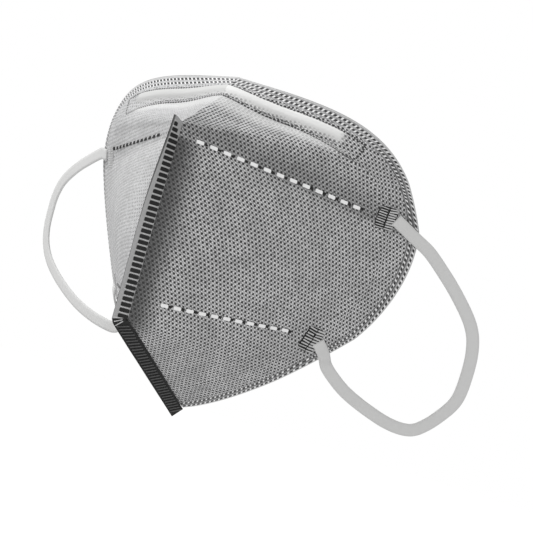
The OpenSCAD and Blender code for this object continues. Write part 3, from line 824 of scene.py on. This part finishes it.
def weld_frame(which):
    """Where a loop's weld lies on the cheek, and how the band leaves it."""
    place, turn, size, start, crossing = WELDS[which]
    centre, out, down = skin(*place)
    start, start_n = skin(*start)[:2]
    edge, edge_n = skin(*crossing)[:2]
    run = unit(edge - start)
    down = unit(down - down @ out * out)
    a = math.radians(turn)
    down = math.cos(a) * down + math.sin(a) * np.cross(down, out)
    return dict(centre=centre, out=out, down=down, across=np.cross(out, down), run=run, edge=edge,
                edge_n=edge_n, start=start, start_n=start_n, size=size)


def loop_weld(which, near_side):
    """Two columns of weld ribs that hold the end of the band, over a plate, dark as painted shade on the
    left half.
    """
    f = weld_frame(which)
    w, h = f["size"]
    solid = Solid()
    base = f["centre"] - 0.35 * f["out"]
    plate, high = (0.62, 0.95) if near_side else (0.42, 0.55)
    rib_mat, plate_mat = 0, 1
    solid.slab(base, f["across"], f["down"], f["out"], (w, h, plate), plate_mat, 0.1)
    count = 9
    pitch = h / count
    rng = np.random.default_rng(5 if which == "upper" else 9)
    for column, thick in ((-1, 0.40), (1, 0.56)):
        for k in range(count):
            at = base + (k + 0.5 - count / 2) * pitch * f["down"] + column * w * 0.25 * f["across"]
            tilt = rng.uniform(-0.10, 0.06) - 0.05 * column
            x = unit(f["across"] + tilt * f["down"])
            at = at + rng.uniform(-0.2, 0.2) * x
            size = (w * (0.44 + rng.uniform(-0.04, 0.03)), pitch * (thick + rng.uniform(-0.1, 0.1)),
                    high + rng.uniform(-0.08, 0.08))
            solid.slab(at, x, np.cross(f["out"], x), f["out"], size, rib_mat, 0.12)
    return solid


def spline(points, per_span):
    """A smooth path through the points."""
    p = np.asarray(points, float)
    out = []
    for i in range(len(p) - 1):
        a, b, c, d = p[max(i - 1, 0)], p[i], p[i + 1], p[min(i + 2, len(p) - 1)]
        f = np.linspace(0, 1, per_span, endpoint=False)[:, None]
        out.append(0.5 * (2 * b + (c - a) * f + (2 * a - 5 * b + 4 * c - d) * f ** 2
                          + (3 * b - a - 3 * c + d) * f ** 3))
    return np.vstack(out + [p[-1:]])


def even(path, step):
    """The same path with its stations an even step apart."""
    run = length_along(path)
    t = np.linspace(0, run[-1], int(run[-1] / step) + 1)
    return np.stack([np.interp(t, run, path[:, k]) for k in range(3)], 1), t


def loop_band(name, route, side):
    """The flat elastic from one weld round to the other, with softly rounded edges."""
    up, low = weld_frame("upper"), weld_frame("lower")
    if side < 0:
        up["start"], up["start_n"] = skin(*FAR_START)[:2]
        for f, crossing in ((up, FAR_UPPER), (low, FAR_LOWER)):
            f["edge"], f["edge_n"] = skin(*crossing)[:2]
            f["run"] = unit(f["edge"] - f["start"])
    # height of the band's middle over the cheek where it leaves its welds
    lift = 0.95
    middle = [UPPER_END + a * CHORD * LOOP_DOWN + b * LOOP_REACH * LOOP_OUT + c * LOOP_BOW * LOOP_BACK
              for a, b, c in route]
    ends = [[f["start"] - 0.6 * f["run"] + 0.2 * f["start_n"],
             f["start"] + 2.4 * f["run"] + lift * f["start_n"],
             f["edge"] + lift * f["edge_n"]] for f in (up, low)]
    points = ends[0] + middle + ([LOWER_END] if side > 0 else []) + ends[1][::-1]
    path, run = even(spline(points, 12), 0.8)
    for _ in range(6):
        path[1:-1] = 0.25 * path[:-2] + 0.5 * path[1:-1] + 0.25 * path[2:]
    total = run[-1]
    a = (1 - smooth(run, TURN_FROM, TURN_TO))[:, None]
    b = smooth(run, total - TURN_TO, total - TURN_FROM)[:, None]
    facing = unit(-LOOP_BACK * (1 - a) * (1 - b) + up["out"] * a + low["out"] * b)
    tangent = unit(np.gradient(path, axis=0))
    across = unit(np.cross(facing, tangent))
    up_dir = np.cross(tangent, across)
    w, h = LOOP_W / 2, LOOP_T / 2
    below = [(-w, -h * 0.3), (-w + 0.2, -h), (-w * 0.5, -h), (0, -h), (w * 0.5, -h), (w - 0.2, -h),
             (w, -h * 0.3)]
    section = below + [(u, -k) for u, k in reversed(below)]
    n = len(section)
    verts = np.stack([path + u * across + k * up_dir for u, k in section], 1).reshape(-1, 3)
    across_uv = np.tile([u for u, _ in section], (len(path), 1))
    uv = np.stack([np.repeat(run[:, None], n, 1), across_uv], -1).reshape(-1, 2)
    last = (len(path) - 1) * n
    faces = [(i + j, i + (j + 1) % n, i + n + (j + 1) % n, i + n + j)
             for i in range(0, last, n) for j in range(n)]
    faces += [tuple(reversed(range(n))), tuple(range(last, last + n))]
    if side > 0:
        faces = [f[::-1] for f in faces]
    return new_mesh(name, verts * np.array([side, 1, 1]), faces, {"cloth": uv})


for side_name, sign in SIDES:
    near_side = sign > 0
    band = loop_band(f"{side_name}_loop_band", LEFT_ROUTE if near_side else RIGHT_ROUTE, sign)
    band.data.materials.append(ELASTIC)
    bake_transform(band)
    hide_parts(f"{side_name}_ear_loop")
    # the plate's colour: near-black on the left half and grey on the right, painted shade and painted light
    # of the same weld
    mats = [WELD_RIB, WELD_DARK if near_side else WELD_FAINT]
    for which in ("upper", "lower"):
        piece = loop_weld(which, near_side).piece(f"{side_name}_{which}_weld_ribs", sign, mats)
        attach(piece, f"{side_name}_cheek")
        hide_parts(f"{side_name}_{which}_loop_weld")
    mats = [WELD_WHITE, WELD_DARK, WELD_RIB]
    upper = UPPER_DASHES if near_side else RIGHT_UPPER_DASHES
    for which, line, count in (("upper", upper, 13), ("lower", LOWER_DASHES, 11)):
        piece = dash_line(line, count, near_side).piece(f"{side_name}_{which}_dashes", sign, mats)
        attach(piece, f"{side_name}_cheek")

# ---------------------------------------------------------------- welded flanges
FLANGE_W, FLANGE_T = 5.5, 0.9
CHIN_SLOPE = math.radians(CHIN_FALL)
FLANGE_MATERIALS = [WELD_WHITE, WELD_DARK, WELD_GREY, WELD_RIB, WELD_FAINT]
# Numbers of the materials in that list
CELL, RIDGE, BAR, PLATE = 1, 2, 3, 4


def leaned(solid, origin, out, along, angle):
    """Turns a flange about its seam line toward the right half, by an angle that changes along it."""
    verts = np.array(solid.verts) - origin
    a, d = verts @ along, verts @ out
    t = angle(a)
    x = verts[:, 0] * np.cos(t) - d * np.sin(t)
    d = verts[:, 0] * np.sin(t) + d * np.cos(t)
    solid.verts = list(origin + x[:, None] * X + a[:, None] * along + d[:, None] * out)
    return solid


def front_flange():
    """Upright flange: a ladder of dark cells, painted shade of the recesses, between thin bars, and a front
    edge of two plies.
    """
    solid = Solid()
    y0, y1 = SEAM_HEAD[1], SEAM_HEAD[1] - FLANGE_W
    top, foot = SEAM_HEAD[2], SEAM_FOOT[2]
    peak = top + 1.3
    drop = FLANGE_W * math.tan(CHIN_SLOPE / 2)
    h = FLANGE_T / 2
    # the plate, in short steps so that it can lean evenly
    share = np.arange(31) / 30
    tall = list(zip(top + (foot - top) * share, peak + (foot - drop - peak) * share))
    for (a, b), (c, d) in zip(tall[:-1], tall[1:]):
        ring = [(y0, a), (y1, b), (y1, d), (y0, c)]
        verts = [(-h, y, z) for y, z in ring] + [(h, y, z) for y, z in ring]
        solid.add(verts, [(0, 1, 2, 3), (7, 6, 5, 4)] + ([(0, 4, 5, 1)] if a == top else []), PLATE)
        for lo, hi, y, mat in ((-h, -0.1, y1 - 0.02, CELL), (-0.1, h, y1, RIDGE)):
            solid.add([(lo, y1, b), (hi, y, b), (hi, y, d), (lo, y1, d)], [(3, 2, 1, 0)], mat)
    # the foot, where three bars fan out over a dark wedge toward the chin's flange
    for k in range(3):
        fan = 0.16 + 0.3 * k
        d = unit(math.cos(fan) * -Y - math.sin(fan) * Z)
        for side in (-1, 1):
            mid = np.array([side * (h - 0.1), y0, foot]) + 3.6 * d
            solid.slab(mid, d, side * np.cross(X, d), side * X, (3.2, 0.34, 0.34), BAR, 0.12)
    wedge = [(y0, foot), (y1, foot - drop), (y1 + 0.7, foot - drop - 1.6), (y1 + 1.9, foot - drop - 2.7)]
    verts = [(-h, y, z) for y, z in wedge] + [(h, y, z) for y, z in wedge]
    solid.add(verts, [(0, 1, 2, 3), (7, 6, 5, 4), (1, 5, 6, 2), (2, 6, 7, 3), (3, 7, 4, 0)], CELL)
    # the ladder, which leaves a plain band along the front and narrows to the peak
    pitch = 2.1
    rng = np.random.default_rng(3)
    z = foot + 0.4
    while z < peak - 1.2:
        front = y1 + 0.3 + 1.3 * smooth(peak - z, 8, 22)
        width = (y0 - front - 0.1) * min(1.0, (peak - z) / 9.0 + 0.12)
        lean = rng.uniform(-0.08, 0.08)
        for side in (-1, 1):
            x = side * X
            mid = np.array([side * (h - 0.1), front + width / 2, z])
            # a dark cell: painted shade in the recess between two bars
            solid.slab(mid, Y, side * Z, x, (width, pitch * 0.66, 0.26), CELL, 0.05)
            mid = mid + (rng.uniform(-0.15, 0.15) - 0.4) * Y + pitch / 2 * Z
            run = unit(Y + lean * Z)
            if z + pitch / 2 < peak - 1.5:
                size = (width - 0.5 + rng.uniform(-0.3, 0.3), 0.36, 0.5)
                solid.slab(mid, run, side * np.cross(X, run), x, size, BAR, 0.12)
        z += pitch
    # it bends over more and more from the peak down
    return leaned(solid, SEAM_HEAD, -Y, -Z, lambda a: 0.85 * smooth(a, -5, 45))


def chin_flange():
    """Flange under the chin: dark pressed ribs that run across it at a slant."""
    solid = Solid()
    along = np.array([0, math.cos(CHIN_SLOPE), -math.sin(CHIN_SLOPE)])
    down = np.array([0, -math.sin(CHIN_SLOPE), -math.cos(CHIN_SLOPE)])
    h = FLANGE_T / 2
    first = 0.35
    cut = FLANGE_W * math.tan(math.radians(20) - CHIN_SLOPE / 2)
    # the plate, in short steps so that it can lean evenly
    share = np.arange(25) / 24
    ends = list(zip(first + (CHIN_RIDGE - first) * share, first + cut + (CHIN_RIDGE - first - cut) * share))
    for (p, q), (r, t) in zip(ends[:-1], ends[1:]):
        ring = [(p, 0.18), (r, 0.18), (t, FLANGE_W), (q, FLANGE_W)]
        verts = [SEAM_FOOT + x * X + a * along + b * down for x in (-h, h) for a, b in ring]
        faces = [(3, 2, 1, 0), (4, 5, 6, 7), (1, 5, 4, 0), (3, 7, 6, 2)]
        caps = ([(0, 4, 7, 3)] if p == ends[0][0] else []) + ([(2, 6, 5, 1)] if r == ends[-1][0] else [])
        solid.add(verts, faces + caps, CELL)
    slant = math.radians(35)
    d = unit(math.cos(slant) * down - math.sin(slant) * along)
    pitch = 1.95
    rng = np.random.default_rng(4)
    a = 2.4
    while a < CHIN_RIDGE - 1.5:
        for side in (-1, 1):
            size = (FLANGE_W - 0.9 + rng.uniform(-0.3, 0.2), 0.42 + rng.uniform(-0.08, 0.05), 0.55)
            mid = SEAM_FOOT + side * (h - 0.1) * X + a * along + 0.52 * FLANGE_W * down
            solid.slab(mid, d, side * np.cross(X, d), side * X, size, RIDGE, 0.1)
        a += pitch
    # it goes on from the front flange's lean and straightens a little toward the chin
    return leaned(solid, SEAM_FOOT, down, along, lambda a: 0.8 - 0.2 * smooth(a, 0, 30))


for solid, name, body in ((front_flange(), "front_flange", "front_seam"),
                          (chin_flange(), "chin_flange", "chin_seam")):
    piece = solid.piece(name, 1, FLANGE_MATERIALS)
    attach(piece, body)
    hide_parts(body)


# ---------------------------------------------------------------- stage, light, world
def add_stage():
    """A pale floor that keeps the shadow but looks almost white to the camera."""
    me = bpy.data.meshes.new("floor")
    r, z = 6.0, -0.6
    me.from_pydata([(-r, -r, z), (r, -r, z), (r, r, z), (-r, r, z)], [], [(0, 1, 2, 3)])
    ob = bpy.data.objects.new("floor", me)
    bpy.context.collection.objects.link(ob)
    m, n, bsdf = material("pale_floor", (0.95, 0.95, 0.95), 0.9)
    seen = n.new("ShaderNodeLightPath").outputs["Is Camera Ray"]
    bsdf.inputs["Emission Color"].default_value = (1, 1, 1, 1)
    n.link(n.mul(seen, 0.62), bsdf.inputs["Emission Strength"])
    me.materials.append(m)


def add_light(name, size, power, direction, distance=1.2):
    """A soft square light that shines on the mask from a direction."""
    data = bpy.data.lights.new(name, "AREA")
    data.size = size
    data.energy = power
    ob = bpy.data.objects.new(name, data)
    bpy.context.collection.objects.link(ob)
    d = unit(direction)
    ob.location = d * distance
    ob.rotation_euler = Vector(d).to_track_quat("Z", "Y").to_euler()


def add_world():
    """Soft light from all round, and white behind the mask."""
    world = bpy.data.worlds.new("world")
    bpy.context.scene.world = world
    world.use_nodes = True
    t = world.node_tree
    t.nodes.clear()
    out = t.nodes.new("ShaderNodeOutputWorld")
    mix = t.nodes.new("ShaderNodeMixShader")
    path = t.nodes.new("ShaderNodeLightPath")
    t.links.new(path.outputs["Is Camera Ray"], mix.inputs[0])
    light_socket, seen_socket = 1, 2
    for socket, strength in ((light_socket, 0.46), (seen_socket, 1.0)):
        shade = t.nodes.new("ShaderNodeBackground")
        shade.inputs["Color"].default_value = (1, 1, 1, 1)
        shade.inputs["Strength"].default_value = strength
        t.links.new(shade.outputs[0], mix.inputs[socket])
    t.links.new(mix.outputs[0], out.inputs[0])


add_stage()
add_world()
add_light("key", size=0.5, power=11.0, direction=(-0.62, -0.42, 0.72))
add_light("fill", size=1.0, power=4.2, direction=(0.6, -0.7, 0.3))
bpy.context.scene.view_settings.view_transform = "Standard"
